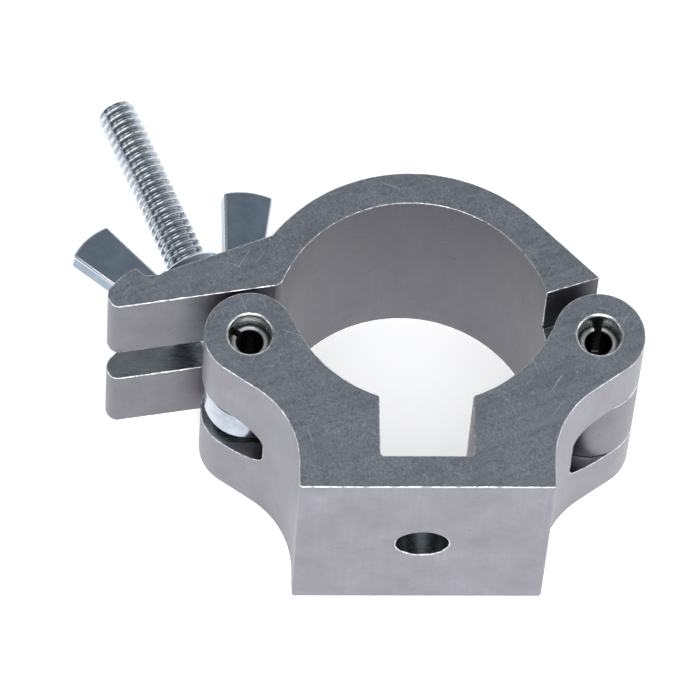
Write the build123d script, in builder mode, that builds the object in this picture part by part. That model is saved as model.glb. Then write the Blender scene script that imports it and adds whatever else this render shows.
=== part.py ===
from build123d import *
from math import acos, atan2, cos, degrees, hypot, radians, sin, sqrt, tan
import os

# Pipe clamp for 48 to 51 mm tube: an aluminium saddle, a hinged cap, a swing bolt, a washer and a wing nut.
# Millimetres. The origin is on the axis of the pipe seat at mid-width, +Z runs along the pipe,
# and -Y points out of the base. The cap is shown swung shut with no pipe in it.

os.makedirs("parts", exist_ok=True)

# Saddle
clamp_width = 50.0
half_width = clamp_width / 2
seat_radius = 26.6
base_width = 48.4
base_drop = 44.2            # from the pipe axis to the base face
base_thickness = 6.6        # under the bolt-head channel
channel_width = 17.8
channel_corner = 0.8
seat_corner = 0.6
shoulder_slope = 35.0       # of the flank that runs from each ear to the base, in degrees
shoulder_radius = 18.0
base_corner = 0.6
fixing_hole_diameter = 10.2
mid_plane = -0.6            # slots, bolt and fixing hole lie just off mid-width

# Ears and pins
pin_spacing = 66.4
pin_drop = 12.2             # from the pipe axis to the plane of the two pins
pin_x = pin_spacing / 2
ear_radius = hypot(pin_x, pin_drop) - seat_radius
bolt_slot_width = 15.0
bolt_slot_depth = 12.8      # from the pin axis to the bottom of the slot
hinge_slot_width = 21.0
hinge_slot_depth = 14.0
slot_corner = 5.5
ear_slot_inner = 23.2       # how near the slots come to the mid-plane between the ears
ear_bore_diameter = 8.0
ear_bore_chamfer = 0.4
pin_diameter = 7.96
pin_wall = 1.4
pin_slit = 1.3
pin_length = 44.0
pin_end_chamfer = 0.6
pivot_bore_diameter = 8.10

# Cap, drawn where it would sit round a pipe, then swung shut about the hinge pin
cap_closure = 18.0          # degrees past the position that is concentric with the seat
cap_outer_radius = 33.1
cap_bore_radius = seat_radius
knuckle_radius = ear_radius
knuckle_width = 20.4
knuckle_step = 11.4         # from the hinge axis up to the milled step
lug_fork_width = 11.4
lug_fork_root = 22.5        # how far from the pipe axis the fork slot starts
lug_face_left = (-41.2, 25.9)
lug_face_slope = 2.8        # degrees
lug_throat = (-21.0, 16.35) # where the underside of the lug meets the bore
lug_hook = ((-42.4, 25.6), (-45.0, 26.2), (-46.2, 28.3))    # raised lip that stops the washer sliding off
lug_nose = ((-48.8, 27.7), (-53.9, 24.8), (-52.6, 21.4))
lug_hook_radius = 0.4
lug_crest_radius = 0.8
lug_nose_radii = (6.0, 2.8, 2.0)
throat_radius = 2.5

# Swing bolt, washer and wing nut
bolt_plane = 0.2            # height of the bolt's axis from mid-width
bolt_lean = 22.5            # degrees from +Y, away from the pipe
bolt_diameter = 8.0
bolt_length = 65.8          # from the eye's centre to the tip
bolt_tip_chamfer = 0.9
eye_diameter = 16.6
eye_width = 10.4
eye_edge = 2.0
neck_diameter = 9.2
neck_length = 13.5
neck_taper = 1.0
washer_seat = 18.6          # from the eye's centre to the washer
washer_diameter = 16.0
washer_thickness = 1.6
washer_bore_diameter = 8.5
nut_bore_diameter = 8.2
hub_base_diameter = 15.0
hub_top_diameter = 12.5
hub_height = 8.0
wing_thickness = 3.8
wing_turn = 9.0             # degrees about the bolt
# one wing, as (height above the nut's seat, reach from the bolt's axis)
wing_root = (1.5, 7.0)
wing_knee = (7.6, 15.8)
wing_shoulder = (16.9, 21.4)
wing_brow = (19.7, 17.4)    # on the arc between the shoulder and the tip
wing_tip = (21.0, 12.5)
wing_inner_foot = (7.6, 7.0)

tolerance = 0.01            # for picking edges by size or place


def on_circle(centre, radius, angle):
    """Point on a circle, at an angle in degrees from +X."""
    return (centre[0] + radius * cos(radians(angle)), centre[1] + radius * sin(radians(angle)))


hinge = (pin_x, -pin_drop)
swing = (-pin_x, -pin_drop)


# Saddle ---------------------------------------------------------------------------------------------

def saddle_half_outline():
    """Right half of the saddle's section, from the channel floor round to the base face."""
    half_base = base_width / 2
    half_channel = channel_width / 2
    floor_y = -base_drop + base_thickness
    to_ear = degrees(atan2(hinge[1], hinge[0]))
    channel_mouth = degrees(-acos(half_channel / seat_radius))
    flank_start = on_circle(hinge, ear_radius, shoulder_slope - 90)
    flank_run = (flank_start[0] - half_base) * tan(radians(shoulder_slope))
    with BuildLine() as half:
        FilletPolyline(
            (0, floor_y), (half_channel, floor_y), on_circle((0, 0), seat_radius, channel_mouth),
            radius=channel_corner,
        )
        CenterArc((0, 0), seat_radius, channel_mouth, to_ear - channel_mouth)
        CenterArc(hinge, ear_radius, to_ear + 180, shoulder_slope - 270 - to_ear)
        FilletPolyline(
            flank_start, (half_base, flank_start[1] - flank_run), (half_base, -base_drop),
            radius=shoulder_radius,
        )
        Line((half_base, -base_drop), (0, -base_drop))
    return half.line


with BuildPart() as saddle:
    with BuildSketch():
        with BuildLine():
            right_half = add(saddle_half_outline())
            mirror(right_half, about=Plane.YZ)
        make_face()
    extrude(amount=half_width, both=True)
    floor_corners = saddle.edges().filter_by(Axis.Z).group_by(Axis.Y)[0]
    fillet(floor_corners, base_corner)
    mouth_y = -sqrt(seat_radius**2 - (channel_width / 2) ** 2)
    mouth_edges = saddle.edges().filter_by(Axis.Z).filter_by_position(Axis.Y, mouth_y - tolerance, mouth_y + tolerance)
    fillet(mouth_edges, seat_corner)

    # a slot in each ear, milled in from the side, with rounded corners at the bottom
    for side, width, depth in ((1, hinge_slot_width, hinge_slot_depth), (-1, bolt_slot_width, bolt_slot_depth)):
        with BuildSketch(Plane.YZ.offset(side * ear_slot_inner)) as ear_slot:
            with Locations((-pin_drop - depth, mid_plane)):
                Rectangle(2 * depth, width, align=(Align.MIN, Align.CENTER))
            fillet(ear_slot.vertices().group_by(Axis.X)[0], slot_corner)
        extrude(amount=side * pin_x, mode=Mode.SUBTRACT)

    # pin bores
    with Locations((pin_x, -pin_drop), (-pin_x, -pin_drop)):
        Hole(ear_bore_diameter / 2)
    bore_rims = saddle.edges().filter_by(GeomType.CIRCLE)
    bore_rims = bore_rims.filter_by(lambda rim: abs(rim.radius - ear_bore_diameter / 2) < tolerance)
    outer_rims = bore_rims.group_by(Axis.Z)[0] + bore_rims.group_by(Axis.Z)[-1]
    chamfer(outer_rims, ear_bore_chamfer)

    # fixing hole through the base
    with Locations(Plane.XZ.offset(base_drop)):
        with Locations((0, mid_plane)):
            Hole(fixing_hole_diameter / 2, depth=2 * base_thickness)

saddle.part.label = "saddle"
export_step(saddle.part, "parts/saddle.step")


# Cap ------------------------------------------------------------------------------------------------

turn = radians(cap_closure)
cap_origin = (
    hinge[0] - hinge[0] * cos(turn) + hinge[1] * sin(turn),
    hinge[1] - hinge[0] * sin(turn) - hinge[1] * cos(turn),
)
cap_plane = Plane(origin=(*cap_origin, 0), x_dir=(cos(turn), sin(turn), 0), z_dir=(0, 0, 1))


throat_angle = degrees(atan2(lug_throat[1], lug_throat[0]))
throat = on_circle((0, 0), cap_bore_radius, throat_angle)
throat_point = cap_plane.from_local_coords(Vector(*throat, 0))


def cap_outline():
    """Section of the cap in its own plane, with the knuckle still full width."""
    face_rise = tan(radians(lug_face_slope))
    reach = lug_face_left[1] - face_rise * lug_face_left[0]
    slope_length = 1 + face_rise**2
    face_right_x = (-face_rise * reach - sqrt(slope_length * cap_outer_radius**2 - reach**2)) / slope_length
    face_right = (face_right_x, reach + face_rise * face_right_x)
    face_angle = degrees(atan2(face_right[1], face_right[0]))
    to_hinge = degrees(atan2(hinge[1], hinge[0]))
    hinge_distance = hypot(*hinge)
    tangent_angle = to_hinge + degrees(acos((cap_outer_radius - knuckle_radius) / hinge_distance))
    with BuildLine() as outline:
        CenterArc((0, 0), cap_outer_radius, tangent_angle, face_angle - tangent_angle)
        FilletPolyline(
            face_right, lug_face_left, *lug_hook, *lug_nose, throat,
            radius=(*[lug_hook_radius] * 3, lug_crest_radius, *lug_nose_radii),
        )
        CenterArc((0, 0), cap_bore_radius, throat_angle, to_hinge - throat_angle)
        CenterArc(hinge, knuckle_radius, to_hinge + 180, tangent_angle - to_hinge + 180)
        Line(on_circle(hinge, knuckle_radius, tangent_angle), on_circle((0, 0), cap_outer_radius, tangent_angle))
    return outline.line


with BuildPart() as cap:
    with BuildSketch(cap_plane):
        add(cap_outline())
        make_face()
    extrude(amount=half_width, both=True)
    throat_edge = cap.edges().filter_by(Axis.Z).sort_by_distance(throat_point)[0]
    fillet(throat_edge, throat_radius)

    # below the step, only the knuckle in the middle of the width is left
    step_y = hinge[1] + knuckle_step
    for side in (1, -1):
        with BuildSketch(cap_plane.offset(mid_plane + side * knuckle_width / 2)):
            with Locations((hinge[0], step_y)):
                Rectangle(clamp_width, clamp_width, align=(Align.CENTER, Align.MAX))
        extrude(amount=side * clamp_width, mode=Mode.SUBTRACT)

    # fork slot for the swing bolt, open at the end of the lug
    with BuildSketch(cap_plane.offset(mid_plane)):
        with Locations((-lug_fork_root, lug_throat[1])):
            Rectangle(clamp_width, clamp_width / 2, align=(Align.MAX, Align.CENTER))
    extrude(amount=lug_fork_width / 2, both=True, mode=Mode.SUBTRACT)

    # pivot bore
    with Locations(Plane((pin_x, -pin_drop, 0))):
        Hole(pivot_bore_diameter / 2)

cap.part.label = "cap"
export_step(cap.part, "parts/cap.step")


# Pins -----------------------------------------------------------------------------------------------

def slotted_pin(centre, slit_angle, name):
    """Spring pin: a rolled tube with one open slit."""
    with BuildPart() as pin:
        with BuildSketch(Plane(origin=(*centre, mid_plane))):
            Circle(pin_diameter / 2)
            Circle(pin_diameter / 2 - pin_wall, mode=Mode.SUBTRACT)
        extrude(amount=pin_length / 2, both=True)
        rims = pin.edges().filter_by(GeomType.CIRCLE)
        chamfer(rims.filter_by(lambda rim: rim.radius > pin_diameter / 2 - tolerance), pin_end_chamfer)
        direction = (cos(radians(slit_angle)), sin(radians(slit_angle)), 0)
        with BuildSketch(Plane(origin=(*centre, mid_plane), x_dir=direction, z_dir=(0, 0, 1))):
            Rectangle(pin_diameter, pin_slit, align=(Align.MIN, Align.CENTER))
        extrude(amount=pin_length, both=True, mode=Mode.SUBTRACT)
    pin.part.label = name
    export_step(pin.part, f"parts/{name}.step")


slotted_pin(hinge, 90, "hinge_pin")
slotted_pin(swing, 140, "bolt_pin")


# Swing bolt -----------------------------------------------------------------------------------------

lean = radians(bolt_lean)
bolt_direction = (-sin(lean), cos(lean), 0)
bolt_across = (cos(lean), sin(lean), 0)
# a section plane through the bolt's axis: x along the bolt, y across it
bolt_section = Plane(origin=(*swing, bolt_plane), x_dir=bolt_direction, z_dir=(0, 0, 1))

with BuildPart() as swing_bolt:
    with BuildSketch(bolt_section):
        with BuildLine():
            Polyline(
                (0, 0), (0, neck_diameter / 2), (neck_length - neck_taper, neck_diameter / 2),
                (neck_length, bolt_diameter / 2), (bolt_length - bolt_tip_chamfer, bolt_diameter / 2),
                (bolt_length, bolt_diameter / 2 - bolt_tip_chamfer), (bolt_length, 0), close=True,
            )
        make_face()
    revolve(axis=Axis(bolt_section.origin, bolt_direction))
    with BuildPart(mode=Mode.PRIVATE) as eye:
        with BuildSketch(Plane(origin=(*swing, bolt_plane))):
            Circle(eye_diameter / 2)
        extrude(amount=eye_width / 2, both=True)
        fillet(eye.edges().filter_by(GeomType.CIRCLE), eye_edge)
    add(eye.part)
    with Locations(Plane(origin=(*swing, bolt_plane))):
        Hole(pivot_bore_diameter / 2)

swing_bolt.part.label = "swing_bolt"
export_step(swing_bolt.part, "parts/swing_bolt.step")


# Washer ---------------------------------------------------------------------------------------------

along_bolt = Plane(origin=(*swing, bolt_plane), x_dir=bolt_across, z_dir=bolt_direction)

with BuildPart() as washer:
    with BuildSketch(along_bolt.offset(washer_seat)):
        Circle(washer_diameter / 2)
        Circle(washer_bore_diameter / 2, mode=Mode.SUBTRACT)
    extrude(amount=washer_thickness)

washer.part.label = "washer"
export_step(washer.part, "parts/washer.step")


# Wing nut -------------------------------------------------------------------------------------------

nut_seat = washer_seat + washer_thickness
wing_across = Vector(*bolt_across).rotate(Axis((0, 0, 0), bolt_direction), wing_turn)
# a plane through the wings: x along the bolt from the nut's seat, y out along a wing
wing_plane = Plane(
    origin=along_bolt.offset(nut_seat).origin, x_dir=bolt_direction, z_dir=Vector(*bolt_direction).cross(wing_across)
)

with BuildPart() as wing_nut:
    with BuildSketch(wing_plane):
        with BuildLine():
            Polyline((wing_root[0], 0), wing_root, wing_knee, wing_shoulder)
            ThreePointArc(wing_shoulder, wing_brow, wing_tip)
            Polyline(wing_tip, wing_inner_foot, (wing_inner_foot[0], 0), (wing_root[0], 0))
        make_face()
        mirror(about=Plane.XZ)
    extrude(amount=wing_thickness / 2, both=True)
    with BuildSketch(wing_plane):
        with BuildLine():
            Polyline(
                (0, 0), (0, hub_base_diameter / 2), (hub_height, hub_top_diameter / 2), (hub_height, 0), close=True
            )
        make_face()
    revolve(axis=Axis(wing_plane.origin, bolt_direction))
    with Locations(along_bolt.offset(nut_seat)):
        Hole(nut_bore_diameter / 2)

wing_nut.part.label = "wing_nut"
export_step(wing_nut.part, "parts/wing_nut.step")
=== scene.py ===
import math

import bmesh
import bpy
from mathutils import Matrix, Vector, noise


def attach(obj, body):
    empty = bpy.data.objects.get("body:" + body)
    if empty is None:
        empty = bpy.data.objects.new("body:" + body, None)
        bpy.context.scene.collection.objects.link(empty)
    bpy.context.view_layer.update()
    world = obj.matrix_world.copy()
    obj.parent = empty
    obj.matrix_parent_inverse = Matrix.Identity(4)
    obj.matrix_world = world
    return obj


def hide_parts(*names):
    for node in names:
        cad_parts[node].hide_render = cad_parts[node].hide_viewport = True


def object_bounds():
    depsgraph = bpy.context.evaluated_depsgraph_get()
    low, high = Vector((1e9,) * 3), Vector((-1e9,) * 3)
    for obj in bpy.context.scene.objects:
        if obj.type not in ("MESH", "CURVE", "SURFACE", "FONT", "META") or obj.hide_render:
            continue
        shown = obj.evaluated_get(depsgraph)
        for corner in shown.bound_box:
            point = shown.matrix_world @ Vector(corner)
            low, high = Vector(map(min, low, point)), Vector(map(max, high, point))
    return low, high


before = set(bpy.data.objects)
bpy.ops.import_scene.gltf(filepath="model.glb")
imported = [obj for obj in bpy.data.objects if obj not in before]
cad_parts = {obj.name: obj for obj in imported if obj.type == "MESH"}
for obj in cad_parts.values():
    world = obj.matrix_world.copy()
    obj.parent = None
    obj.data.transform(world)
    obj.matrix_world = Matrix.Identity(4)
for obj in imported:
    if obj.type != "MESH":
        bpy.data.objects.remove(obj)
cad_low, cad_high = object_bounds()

# Looks of the pipe clamp. Everything is in metres in the frame's own axes: the origin is on the axis of the
# pipe seat, +Z runs along the pipe and -Y points out of the base.

mm = 0.001
half_width = cad_high.z

# The two pins lie at x = +pin_x and -pin_x. The fixing hole comes up through the base.
pin_x = 33.2 * mm
pin_y = -12.2 * mm
pin_bore_radius = 2.6 * mm
pin_hole_reach = 4.3 * mm
fixing_hole_z = -0.6 * mm
fixing_hole_reach = 5.4 * mm

# The lug's flat meets its throat on a line close to the end of the lug's slot. The line is moved along the
# flat, by throat_shift, because the slot's rounded edge would run over it.
throat_line = Vector((-28.562, -2.021)) * mm
throat_shift = Vector((0.988, 0.155)) * 0.25 * mm

# How the edges of the aluminium are rubbed: the rounding, how uneven it is and over what distance it varies.
edge_width = 0.22 * mm
edge_unevenness = 0.04 * mm
edge_wear_size = 0.9 * mm
edge_step = 1.1 * mm

# Blender's vector noise starts from the clock unless it gets a seed, and then the wear differs on each run.
noise.seed_set(1)

# The swing bolt's thread, measured from the middle of its eye. It starts a little inside the neck.
neck_end = 13.5 * mm
bolt_length = 65.8 * mm
thread_overlap = 0.4 * mm
thread_crest = 3.99 * mm
thread_depth = 0.90 * mm
thread_pitch = 1.6 * mm
thread_chamfer = 0.8 * mm

# The swing bolt's own axes: its eye is the origin, x runs across it and z along it.
bolt_lean = math.radians(22.5)
bolt_centre = Vector((-pin_x, pin_y, 0.2 * mm))
bolt_along = Vector((-math.sin(bolt_lean), math.cos(bolt_lean), 0))
bolt_across = Vector((math.cos(bolt_lean), math.sin(bolt_lean), 0))
bolt_matrix = Matrix.Translation(bolt_centre) @ Matrix(
    (bolt_across, bolt_along.cross(bolt_across), bolt_along)
).transposed().to_4x4()


# Materials ------------------------------------------------------------------------------------------

class Nodes:
    """A material's node tree, with short ways to add what the metals need.

    Feature sizes and bump depths are in millimetres.
    """

    def __init__(self, name):
        self.material = bpy.data.materials.new(name)
        self.material.use_nodes = True
        self.tree = self.material.node_tree
        self.tree.nodes.clear()
        self.shader = self.tree.nodes.new("ShaderNodeBsdfPrincipled")
        output = self.tree.nodes.new("ShaderNodeOutputMaterial")
        self.tree.links.new(self.shader.outputs[0], output.inputs[0])
        self.shader.inputs["Metallic"].default_value = 1.0
        self.place = self.tree.nodes.new("ShaderNodeTexCoord").outputs["Object"]

    def feed(self, socket, value):
        if isinstance(value, bpy.types.NodeSocket):
            self.tree.links.new(value, socket)
        else:
            socket.default_value = value

    def stretched(self, size, turn=(0, 0, 0)):
        """Object coordinates turned, then divided by a feature size in each direction."""
        turned = self.tree.nodes.new("ShaderNodeMapping")
        turned.vector_type = "POINT"
        turned.inputs["Rotation"].default_value = [math.radians(a) for a in turn]
        self.feed(turned.inputs["Vector"], self.place)
        scaled = self.tree.nodes.new("ShaderNodeMapping")
        scaled.inputs["Scale"].default_value = [1 / (s * mm) for s in size]
        self.feed(scaled.inputs["Vector"], turned.outputs[0])
        return scaled.outputs[0]

    def noise(self, size, turn=(0, 0, 0), detail=2.0, roughness=0.5, distortion=0.0, seed=0.0):
        texture = self.tree.nodes.new("ShaderNodeTexNoise")
        texture.noise_dimensions = "4D"
        texture.inputs["Scale"].default_value = 1.0
        texture.inputs["W"].default_value = seed
        texture.inputs["Detail"].default_value = detail
        texture.inputs["Roughness"].default_value = roughness
        texture.inputs["Distortion"].default_value = distortion
        self.feed(texture.inputs["Vector"], self.stretched(size, turn))
        return texture.outputs["Fac"]

    def from_axis(self, centre, along):
        """The distance, in metres, from the line through centre."""
        offset = self.tree.nodes.new("ShaderNodeVectorMath")
        offset.operation = "SUBTRACT"
        offset.inputs[1].default_value = centre
        self.tree.links.new(self.place, offset.inputs[0])
        across = self.tree.nodes.new("ShaderNodeVectorMath")
        across.operation = "CROSS_PRODUCT"
        across.inputs[1].default_value = along
        self.tree.links.new(offset.outputs[0], across.inputs[0])
        length = self.tree.nodes.new("ShaderNodeVectorMath")
        length.operation = "LENGTH"
        self.tree.links.new(across.outputs[0], length.inputs[0])
        return length.outputs["Value"]

    def ramp(self, value, low, high, to_low=0.0, to_high=1.0):
        node = self.tree.nodes.new("ShaderNodeMapRange")
        for name, number in (("From Min", low), ("From Max", high), ("To Min", to_low), ("To Max", to_high)):
            node.inputs[name].default_value = number
        self.feed(node.inputs["Value"], value)
        return node.outputs[0]

    def maths(self, operation, a, b):
        node = self.tree.nodes.new("ShaderNodeMath")
        node.operation = operation
        self.feed(node.inputs[0], a)
        self.feed(node.inputs[1], b)
        return node.outputs[0]

    def mix(self, factor, a, b):
        node = self.tree.nodes.new("ShaderNodeMix")
        node.data_type = "RGBA"
        self.feed(node.inputs["Factor"], factor)
        self.feed(node.inputs["A"], a)
        self.feed(node.inputs["B"], b)
        return node.outputs["Result"]

    def scratches(self, length, width, share, turns, seed):
        """Sparse hairlines in several directions: 1 on a scratch and 0 off it."""
        total = None
        for k, turn in enumerate(turns):
            size = (length, width, length)
            streak = self.noise(size, turn, detail=0.6, distortion=0.15, seed=seed + 3.7 * k)
            line = self.ramp(streak, share, share + 0.035)
            total = line if total is None else self.maths("MAXIMUM", total, line)
        return total

    def bump(self, height, depth):
        node = self.tree.nodes.new("ShaderNodeBump")
        node.inputs["Strength"].default_value = 1.0
        node.inputs["Distance"].default_value = depth * mm
        self.feed(node.inputs["Height"], height)
        self.tree.links.new(node.outputs[0], self.shader.inputs["Normal"])

    def finish(self, colour, roughness):
        self.feed(self.shader.inputs["Base Color"], colour)
        self.feed(self.shader.inputs["Roughness"], roughness)
        return self.material


def sawn_aluminium():
    """The cut ends: tumbled grey with specks, hairline scratches and faint marks of the saw."""
    n = Nodes("sawn_aluminium")
    speck = n.noise((0.35, 0.35, 0.35), detail=3.0, roughness=0.65, seed=1.0)
    cloud = n.noise((6.0, 6.0, 6.0), detail=3.0, roughness=0.6, seed=2.0)
    saw = n.noise((26.0, 1.1, 26.0), (0, 0, -22), detail=2.0, seed=3.0)
    scratch = n.scratches(7.0, 0.16, 0.755, ((0, 0, 72), (0, 0, 121), (0, 0, 20)), 4.0)
    rubbed = n.ramp(n.noise((1.4, 1.4, 1.4), detail=4.0, roughness=0.75, seed=5.0), 0.57, 0.72)
    grey = n.mix(n.ramp(speck, 0.30, 0.70), (0.140, 0.158, 0.180, 1), (0.410, 0.438, 0.480, 1))
    grey = n.mix(n.ramp(cloud, 0.3, 0.75, 0.0, 0.6), grey, (0.16, 0.18, 0.205, 1))
    grey = n.mix(n.ramp(saw, 0.40, 0.70, 0.0, 0.55), grey, (0.33, 0.35, 0.38, 1))
    grey = n.mix(n.maths("MULTIPLY", rubbed, 0.60), grey, (0.50, 0.52, 0.55, 1))
    grey = n.mix(n.maths("MULTIPLY", scratch, 0.85), grey, (0.62, 0.64, 0.66, 1))
    height = n.maths("ADD", speck, n.maths("MULTIPLY", scratch, -0.6))
    n.bump(n.maths("ADD", height, n.maths("MULTIPLY", saw, 0.8)), 0.012)
    return n.finish(grey, n.ramp(speck, 0.3, 0.7, 0.40, 0.56))


def extruded_aluminium(name, shade):
    """The drawn sides: satin grey, with faint lines along the extrusion and scuffs. Shade 0 is black; the
    cap's lower shade than the saddle's is painted shade.
    """
    n = Nodes(name)
    drawn = n.noise((0.5, 0.5, 60.0), detail=3.0, roughness=0.6, seed=11.0)
    cloud = n.noise((7.0, 7.0, 9.0), detail=4.0, roughness=0.6, seed=12.0)
    grain = n.noise((0.3, 0.3, 0.5), detail=2.0, seed=13.0)
    scuff = n.scratches(5.0, 0.30, 0.75, ((30, 0, 20), (-40, 25, 75), (10, 60, -30)), 14.0)
    mark = n.ramp(n.noise((2.6, 2.6, 1.3), detail=4.0, roughness=0.7, seed=19.0), 0.59, 0.72)
    grey = n.mix(n.ramp(cloud, 0.3, 0.7), (0.330, 0.320, 0.365, 1), (0.530, 0.518, 0.585, 1))
    grey = n.mix(n.ramp(drawn, 0.3, 0.7, 0.0, 0.35), grey, (0.35, 0.345, 0.375, 1))
    grey = n.mix(n.maths("MULTIPLY", scuff, 0.4), grey, (0.24, 0.24, 0.26, 1))
    grey = n.mix(n.maths("MULTIPLY", mark, 0.7), grey, (0.24, 0.235, 0.255, 1))
    # The shade darkens the whole grey; on the cap it is lower than on the saddle, as painted shade.
    grey = n.mix(1.0 - shade, grey, (0, 0, 0, 1))
    height = n.maths("ADD", n.maths("MULTIPLY", drawn, 0.9), n.maths("MULTIPLY", grain, 0.5))
    n.bump(n.maths("ADD", height, n.maths("MULTIPLY", scuff, -0.7)), 0.010)
    return n.finish(grey, n.ramp(cloud, 0.3, 0.7, 0.36, 0.48))


def milled_shaded_aluminium():
    """Slots and bores: glossier than the drawn sides, with the cutter's marks, and painted darker than the
    sides as shade in these recesses.
    """
    n = Nodes("milled_shaded_aluminium")
    cutter = n.noise((18.0, 0.28, 0.28), (0, 0, 8), detail=2.0, seed=21.0)
    cloud = n.noise((4.0, 4.0, 4.0), detail=3.0, seed=22.0)
    # Painted shade: the grey of the slots and bores is darker than the sides'.
    grey = n.mix(n.ramp(cloud, 0.3, 0.7), (0.20, 0.22, 0.23, 1), (0.36, 0.38, 0.39, 1))
    n.bump(cutter, 0.006)
    return n.finish(grey, n.ramp(cutter, 0.3, 0.7, 0.18, 0.34))


def worn_and_highlit_edge():
    """Edges rubbed bright by tumbling, with duller stretches, and partly a painted highlight along the edges.
    """
    n = Nodes("worn_and_highlit_edge")
    patch = n.noise((1.2, 1.2, 1.2), detail=4.0, roughness=0.7, seed=31.0)
    nick = n.noise((0.35, 0.35, 0.35), detail=2.0, seed=32.0)
    # Partly real wear, partly painted highlight: the convex roundings are painted near white.
    bright = n.mix(n.ramp(patch, 0.36, 0.58), (0.30, 0.31, 0.33, 1), (0.90, 0.90, 0.91, 1))
    n.bump(nick, 0.02)
    return n.finish(bright, n.ramp(patch, 0.3, 0.7, 0.34, 0.16))


def zinc_plate(name, low, high, gloss, seed, paint_root_shade=False):
    """Bright zinc over steel: bluish and glossy, with soft clouds, pinpricks and, in a thread, roots painted
    dark as shade.
    """
    n = Nodes(name)
    cloud = n.noise((3.5, 3.5, 3.5), detail=3.0, roughness=0.6, seed=seed)
    prick = n.noise((0.22, 0.22, 0.22), detail=2.0, seed=seed + 1)
    spot = n.ramp(n.noise((0.9, 0.9, 0.9), detail=1.0, seed=seed + 2), 0.74, 0.78)
    blue = n.mix(n.ramp(cloud, 0.3, 0.7), (*low, 1), (*high, 1))
    blue = n.mix(n.maths("MULTIPLY", spot, 0.7), blue, (0.80, 0.82, 0.84, 1))
    if paint_root_shade:
        # Painted shade: the thread's roots are darkened towards the bolt's axis, where shade falls between
        # the crests.
        from_bolt_axis = n.from_axis(bolt_centre, bolt_along)
        painted_root_shade_mask = n.ramp(from_bolt_axis, 3.2 * mm, 3.75 * mm, 0.52, 0.0)
        blue = n.mix(painted_root_shade_mask, blue, (0.10, 0.12, 0.14, 1))
    n.bump(prick, 0.004)
    return n.finish(blue, n.ramp(cloud, 0.3, 0.7, gloss, gloss + 0.09))


def spring_steel(name, x):
    """Rolled pins: bright, drawn along their length, dull where oil has dried, and painted black inside as
    shade in the hollow.
    """
    n = Nodes(name)
    drawn = n.noise((0.25, 0.25, 9.0), detail=2.0, seed=51.0)
    film = n.noise((2.0, 2.0, 2.0), detail=3.0, seed=52.0)
    grey = n.mix(n.ramp(film, 0.35, 0.7), (0.82, 0.80, 0.77, 1), (0.55, 0.54, 0.52, 1))
    # Painted shade: the inside of the hollow pin is painted nearly black.
    from_pin_axis = n.from_axis((x, pin_y, 0), (0, 0, 1))
    painted_bore_shade = n.ramp(from_pin_axis, pin_bore_radius + 0.04 * mm, pin_bore_radius + 0.2 * mm, 0.95, 0.0)
    grey = n.mix(painted_bore_shade, grey, (0.03, 0.03, 0.03, 1))
    n.bump(drawn, 0.006)
    return n.finish(grey, n.ramp(film, 0.3, 0.7, 0.20, 0.38))


def floor_paper():
    """White paper that glows a little, as on a light table, so that it stays white inside the clamp."""
    n = Nodes("floor_paper")
    n.shader.inputs["Metallic"].default_value = 0.0
    fibre = n.noise((1.5, 1.5, 1.5), detail=3.0, seed=61.0)
    n.bump(fibre, 0.01)
    white = n.mix(n.ramp(fibre, 0.3, 0.7), (0.86, 0.86, 0.86, 1), (0.90, 0.90, 0.90, 1))
    n.shader.inputs["Emission Color"].default_value = (1, 1, 1, 1)
    n.shader.inputs["Emission Strength"].default_value = 0.56
    return n.finish(white, 0.9)


SIDE, END, EDGE, MILLED = range(4)
saddle_sides = extruded_aluminium("saddle_extruded", 0.60)
saddle_aluminium = [saddle_sides, sawn_aluminium(), worn_and_highlit_edge(), milled_shaded_aluminium()]
# The cap's sides are the same aluminium as the saddle's, painted darker as shade.
cap_aluminium = [extruded_aluminium("cap_extruded_shaded", 0.46), *saddle_aluminium[1:]]
# The same zinc plate in two copies: the eye, which sits in the slot, is painted darker as shade (the washer
# shares that copy), and the thread is painted lighter as light.
shaded_bolt_zinc = zinc_plate("shaded_bolt_zinc_plate", (0.34, 0.39, 0.45), (0.54, 0.59, 0.65), 0.13, 41.0)
lit_thread_zinc = zinc_plate("lit_thread_zinc_plate", (0.55, 0.59, 0.63), (0.80, 0.84, 0.88), 0.13, 41.0, True)
nut_zinc = zinc_plate("nut_zinc_plate", (0.24, 0.29, 0.355), (0.32, 0.38, 0.45), 0.15, 44.0)
# Painted highlight: the wing nut's rounded edges take a much lighter copy of its zinc.
nut_edge_highlight_zinc = zinc_plate("nut_edge_highlight_zinc_plate", (0.62, 0.66, 0.71), (0.80, 0.83, 0.86), 0.10, 47.0)
hinge_pin_steel = spring_steel("hinge_pin_steel", pin_x)
bolt_pin_steel = spring_steel("bolt_pin_steel", -pin_x)


# Mesh work ------------------------------------------------------------------------------------------

def cad_copy(node):
    """An editable copy of a CAD node's mesh, with its flat faces whole again."""
    mesh = bmesh.new()
    mesh.from_mesh(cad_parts[node].data)
    bmesh.ops.remove_doubles(mesh, verts=mesh.verts, dist=0.002 * mm)
    bmesh.ops.dissolve_limit(mesh, angle_limit=math.radians(0.4), verts=mesh.verts, edges=mesh.edges)
    bmesh.ops.recalc_face_normals(mesh, faces=mesh.faces)
    return mesh


def sharp_edges(mesh, angle):
    """The edges where two faces meet at more than the angle, in degrees."""
    return [e for e in mesh.edges if e.is_manifold and e.calc_face_angle(0) > math.radians(angle)]


def cut_sharp_edges(mesh, angle, step):
    """Divides the long sharp edges, so that wear can vary along them, and returns all the sharp ones."""
    for edge in sharp_edges(mesh, angle):
        start, end = edge.verts[0], edge.verts[1]
        first, last = start.co.copy(), end.co.copy()
        count = int((last - first).length / step)
        for i in range(1, count):
            start = bmesh.utils.edge_split(edge, start, 0.5)[1]
            start.co = first.lerp(last, i / count)
    return sharp_edges(mesh, angle)


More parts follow.
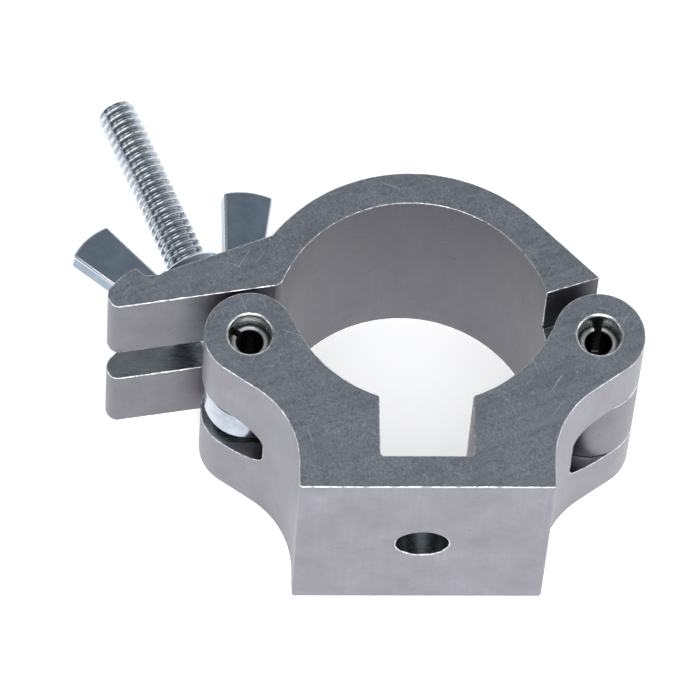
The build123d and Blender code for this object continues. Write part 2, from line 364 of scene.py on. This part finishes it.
def make_room(mesh, line, shift):
    """Moves the edge that runs along the extrusion at line, so that the rounding beside it stays clear."""
    reach = 0.06 * mm
    for vertex in mesh.verts:
        if (vertex.co.xy - line).length < reach:
            vertex.co.xy += shift


def round_edges(mesh, edges, width, segments, uneven=0.0):
    """Rounds the given edges and rubs them unevenly. Returns the faces of the roundings."""
    result = bmesh.ops.bevel(
        mesh, geom=edges, offset=width, offset_type="OFFSET", segments=segments, profile=0.5,
        affect="EDGES", clamp_overlap=False, loop_slide=False,
    )
    rounded = set(result["faces"])
    if uneven:
        for vertex in {v for face in rounded for v in face.verts}:
            shift = noise.noise_vector(vertex.co / edge_wear_size) * uneven
            for face in vertex.link_faces:
                if face not in rounded:
                    shift -= shift.dot(face.normal) * face.normal
            vertex.co += shift
    return rounded


def corner_normals(mesh, smooth):
    """Normals that keep broad flat faces flat and let their narrow roundings bend."""
    mesh.normal_update()
    limit = math.cos(math.radians(smooth))
    area = {face: face.calc_area() for face in mesh.faces}
    normals = []
    for face in mesh.faces:
        for corner in face.loops:
            near = [f for f in corner.vert.link_faces if f.normal.dot(face.normal) > limit]
            normals.append(sum((f.normal * area[f] for f in near), Vector()).normalized())
    return normals


def piece(mesh, name, node, body, materials, smooth=40):
    """Turns the finished mesh into the piece that stands for a CAD node."""
    data = bpy.data.meshes.new(name)
    for material in materials:
        data.materials.append(material)
    normals = corner_normals(mesh, smooth)
    mesh.to_mesh(data)
    mesh.free()
    data.shade_smooth()
    data.normals_split_custom_set(normals)
    made = bpy.data.objects.new(name, data)
    bpy.context.scene.collection.objects.link(made)
    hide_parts(node)
    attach(made, body)
    return made


def aluminium_piece(name, node, body, materials):
    """A length of extrusion, sawn at both ends and milled, with rubbed edges."""
    mesh = cad_copy(node)
    make_room(mesh, throat_line, throat_shift)
    sharp = cut_sharp_edges(mesh, 24, edge_step)
    roundings = round_edges(mesh, sharp, edge_width, 2, uneven=edge_unevenness)
    for face in mesh.faces:
        centre = face.calc_center_median()
        bend = sum(edge.calc_face_angle_signed(0) for edge in face.edges)
        at_end = abs(centre.z) > half_width - 0.05 * mm
        from_pin = min(math.hypot(centre.x - side * pin_x, centre.y - pin_y) for side in (1, -1))
        below_seat = centre.y < pin_y and abs(face.normal.y) < 0.5
        in_fixing_hole = below_seat and math.hypot(centre.x, centre.z - fixing_hole_z) < fixing_hole_reach
        if face in roundings:
            face.material_index = EDGE if bend > 0 else SIDE
        elif abs(face.normal.z) > 0.999:
            face.material_index = END if at_end else MILLED
        elif from_pin < pin_hole_reach or in_fixing_hole:
            face.material_index = MILLED
        else:
            face.material_index = SIDE
    return piece(mesh, name, node, body, materials)


def bevelled_piece(name, node, body, materials, width, segments=3):
    """The CAD shape with rounded edges, which take the last of the materials."""
    mesh = cad_copy(node)
    for face in round_edges(mesh, sharp_edges(mesh, 30), width, segments):
        face.material_index = len(materials) - 1
    return piece(mesh, name, node, body, materials)


def threaded_shank(mesh, start, end, material_index):
    """A closed screw thread along the bolt's axis, fading in at its start and chamfered at its tip."""
    around = 56
    rows_per_turn = 14
    crest_half_share = 0.07
    flank_share = 0.34
    roundness = 0.65
    fade_turns = 1.5
    rows = round((end - start) / thread_pitch * rows_per_turn)
    rings = []
    for i in range(rows + 1):
        along = start + (end - start) * i / rows
        limit = min(thread_crest, thread_crest - thread_chamfer + (end - along))
        fade_in = min(1.0, (along - start) / (fade_turns * thread_pitch))
        ring = []
        for j in range(around):
            turn = j / around
            phase = (along / thread_pitch - turn) % 1.0
            flank = min(1.0, max(0.0, (abs(phase - 0.5) - crest_half_share) / flank_share))
            smooth = flank * flank * (3 - 2 * flank)
            cut = (1 - roundness) * flank + roundness * smooth
            radius = min(limit, thread_crest - thread_depth * fade_in * cut)
            angle = 2 * math.pi * turn
            ring.append(mesh.verts.new(
                bolt_matrix @ Vector((radius * math.cos(angle), radius * math.sin(angle), along))
            ))
        rings.append(ring)
    for low, high in zip(rings, rings[1:]):
        for j in range(around):
            k = (j + 1) % around
            mesh.faces.new((low[j], low[k], high[k], high[j])).material_index = material_index
    mesh.faces.new(list(reversed(rings[0])))
    mesh.faces.new(rings[-1])


def swing_bolt():
    """The CAD eye and neck, with a threaded shank in place of the plain one."""
    mesh = cad_copy("swing_bolt")
    cut = bmesh.ops.bisect_plane(
        mesh, geom=mesh.verts[:] + mesh.edges[:] + mesh.faces[:], clear_outer=True,
        plane_co=bolt_centre + bolt_along * neck_end, plane_no=bolt_along,
    )
    open_edges = [e for e in cut["geom_cut"] if isinstance(e, bmesh.types.BMEdge)]
    bmesh.ops.edgeloop_fill(mesh, edges=open_edges)
    round_edges(mesh, sharp_edges(mesh, 30), 0.3 * mm, 3)
    threaded_shank(mesh, neck_end - thread_overlap, bolt_length, material_index=1)
    materials = [shaded_bolt_zinc, lit_thread_zinc]
    return piece(mesh, "threaded_swing_bolt", "swing_bolt", "swing_bolt", materials, smooth=50)


aluminium_piece("saddle_extrusion", "saddle", "saddle", saddle_aluminium)
aluminium_piece("cap_extrusion", "cap", "cap", cap_aluminium)
bevelled_piece("hinge_roll_pin", "hinge_pin", "saddle", [hinge_pin_steel], 0.15 * mm, 2)
bevelled_piece("bolt_roll_pin", "bolt_pin", "saddle", [bolt_pin_steel], 0.15 * mm, 2)
swing_bolt()
bevelled_piece("flat_washer", "washer", "washer", [shaded_bolt_zinc], 0.3 * mm)
bevelled_piece("finger_wing_nut", "wing_nut", "wing_nut", [nut_zinc, nut_edge_highlight_zinc], 0.5 * mm)


# Studio ---------------------------------------------------------------------------------------------

def studio_floor():
    """A round sheet of paper just below the clamp."""
    mesh = bmesh.new()
    bmesh.ops.create_circle(mesh, cap_ends=True, segments=96, radius=0.6)
    data = bpy.data.meshes.new("floor")
    mesh.to_mesh(data)
    mesh.free()
    data.materials.append(floor_paper())
    made = bpy.data.objects.new("floor", data)
    made.location = (0, 0, cad_low.z - 0.05 * mm)
    bpy.context.scene.collection.objects.link(made)


def softbox(name, azimuth, elevation, distance, size, power, tint=(1, 1, 1)):
    """An area light that faces the clamp. Azimuth 0 is in front of the base."""
    data = bpy.data.lights.new(name, "AREA")
    data.shape = "RECTANGLE"
    data.size, data.size_y = size
    data.energy = power
    data.color = tint
    a, e = math.radians(azimuth), math.radians(elevation)
    away = Vector((math.sin(a) * math.cos(e), -math.cos(a) * math.cos(e), math.sin(e)))
    made = bpy.data.objects.new(name, data)
    made.location = away * distance
    made.rotation_mode = "QUATERNION"
    made.rotation_quaternion = (-away).to_track_quat("-Z", "Y")
    bpy.context.scene.collection.objects.link(made)


def studio_world():
    """Pale round the horizon, darker overhead, so that upward faces read as grey metal, and dark at left."""
    world = bpy.data.worlds.new("studio")
    bpy.context.scene.world = world
    world.use_nodes = True
    tree = world.node_tree
    background = tree.nodes["Background"]
    place = tree.nodes.new("ShaderNodeTexCoord")
    split = tree.nodes.new("ShaderNodeSeparateXYZ")
    ramp = tree.nodes.new("ShaderNodeValToRGB")
    ramp.color_ramp.elements[0].position = 0.0
    ramp.color_ramp.elements[0].color = (0.86, 0.87, 0.88, 1)
    ramp.color_ramp.elements[1].position = 0.85
    ramp.color_ramp.elements[1].color = (0.34, 0.36, 0.39, 1)
    tree.links.new(place.outputs["Generated"], split.inputs[0])
    tree.links.new(split.outputs["Z"], ramp.inputs[0])
    side = tree.nodes.new("ShaderNodeMapRange")
    for name, number in (("From Min", -0.9), ("From Max", -0.2), ("To Min", 0.25), ("To Max", 1.0)):
        side.inputs[name].default_value = number
    tree.links.new(split.outputs["X"], side.inputs["Value"])
    shaded = tree.nodes.new("ShaderNodeVectorMath")
    shaded.operation = "SCALE"
    tree.links.new(ramp.outputs[0], shaded.inputs[0])
    tree.links.new(side.outputs[0], shaded.inputs["Scale"])
    tree.links.new(shaded.outputs[0], background.inputs["Color"])
    background.inputs["Strength"].default_value = 1.0


def studio_camera():
    """The viewpoint: a long lens above the base face, rolled a little."""
    azimuth, elevation, roll = (math.radians(a) for a in (-5.30, 63.92, 4.93))
    target = Vector((-13.184, -3.352, 0.0)) * mm
    distance = 1480.5 * mm
    back = Vector((
        math.sin(azimuth) * math.cos(elevation), -math.cos(azimuth) * math.cos(elevation), math.sin(elevation)
    ))
    level_right = Vector((0, 0, 1)).cross(back).normalized()
    level_up = back.cross(level_right)
    right = math.cos(roll) * level_right + math.sin(roll) * level_up
    up = back.cross(right)
    data = bpy.data.cameras.new("camera")
    data.sensor_width = 36.0
    data.lens = 394.3
    data.clip_start = 0.01
    data.clip_end = 50.0
    made = bpy.data.objects.new("camera", data)
    facing = Matrix((right, up, back)).transposed().to_4x4()
    made.matrix_world = Matrix.Translation(target + back * distance) @ facing
    bpy.context.scene.collection.objects.link(made)
    bpy.context.scene.camera = made


studio_floor()
studio_world()
studio_camera()
softbox("front_low", 0, 28, 0.9, (0.8, 0.3), 3.0)
softbox("front_high", 0, 68, 0.9, (0.6, 0.6), 3.4)
softbox("left", -85, 35, 0.8, (0.4, 0.4), 0.8, (0.95, 0.98, 1.0))
softbox("right", 80, 30, 0.8, (0.4, 0.4), 1.0)
bpy.context.scene.view_settings.view_transform = "Standard"
